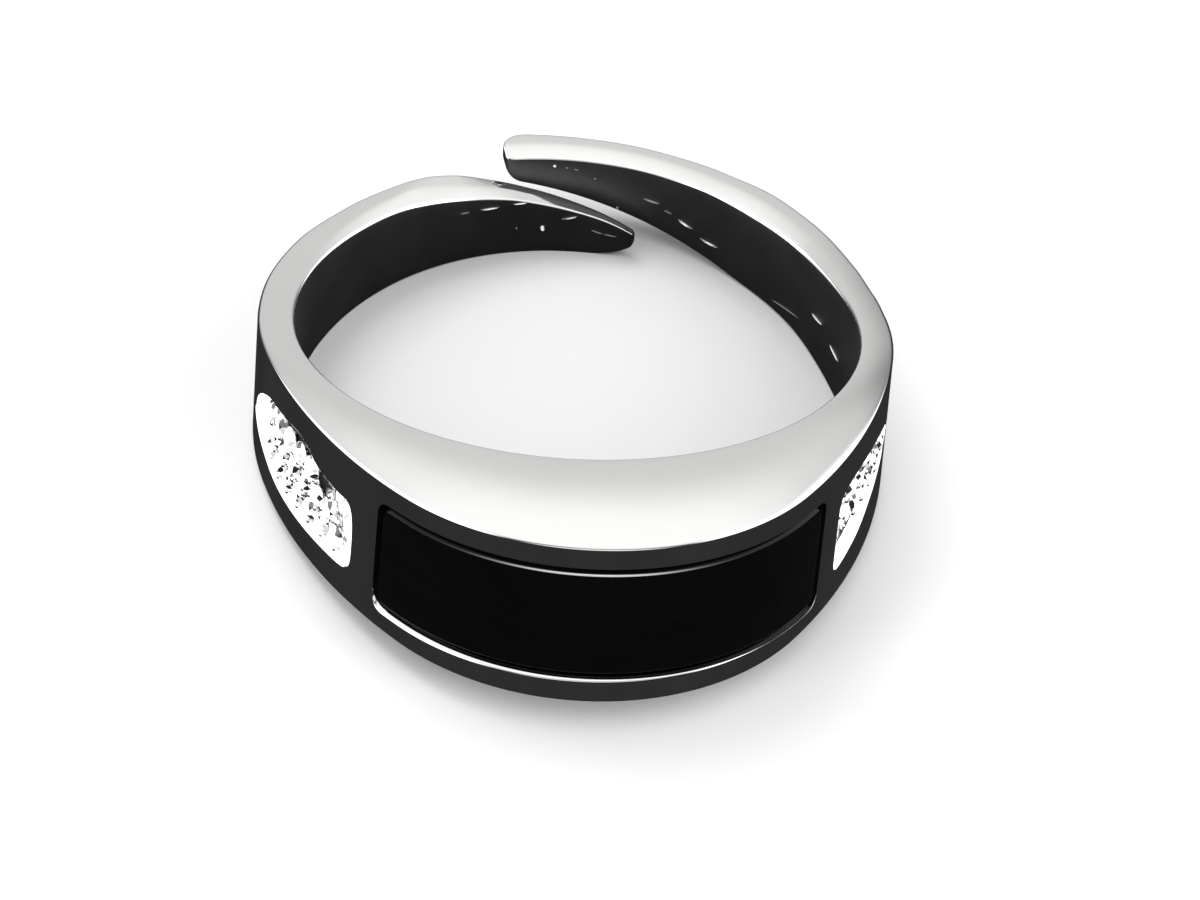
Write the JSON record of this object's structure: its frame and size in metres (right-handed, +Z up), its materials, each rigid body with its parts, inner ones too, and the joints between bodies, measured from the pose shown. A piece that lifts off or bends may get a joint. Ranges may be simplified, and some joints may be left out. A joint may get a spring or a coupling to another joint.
{
  "type": "onyx ring",
  "caption": "Open silver finger ring with a curved black onyx tablet set flush in its tall head and a slanted panel of small cut stones on each shoulder.",
  "frame": {"origin": "where the finger hole's axis meets the table, with the ring lying on its side", "axes": "+Z up, away from the table and nearly along the finger hole, whose axis leans 8 degrees back to +Y; the onyx tablet faces -Y; +X to the ring's right arm"},
  "size_m": [0.0203, 0.0248, 0.0069],
  "materials": {
    "silver": "mirror-polished sterling silver",
    "onyx": "polished black onyx",
    "small_stones": "faceted clear white stones"
  },
  "bodies": {
    "root": {"band": "silver", "onyx": "onyx", "pave_left": "small_stones", "pave_right": "small_stones"}
  },
  "joints": []
}
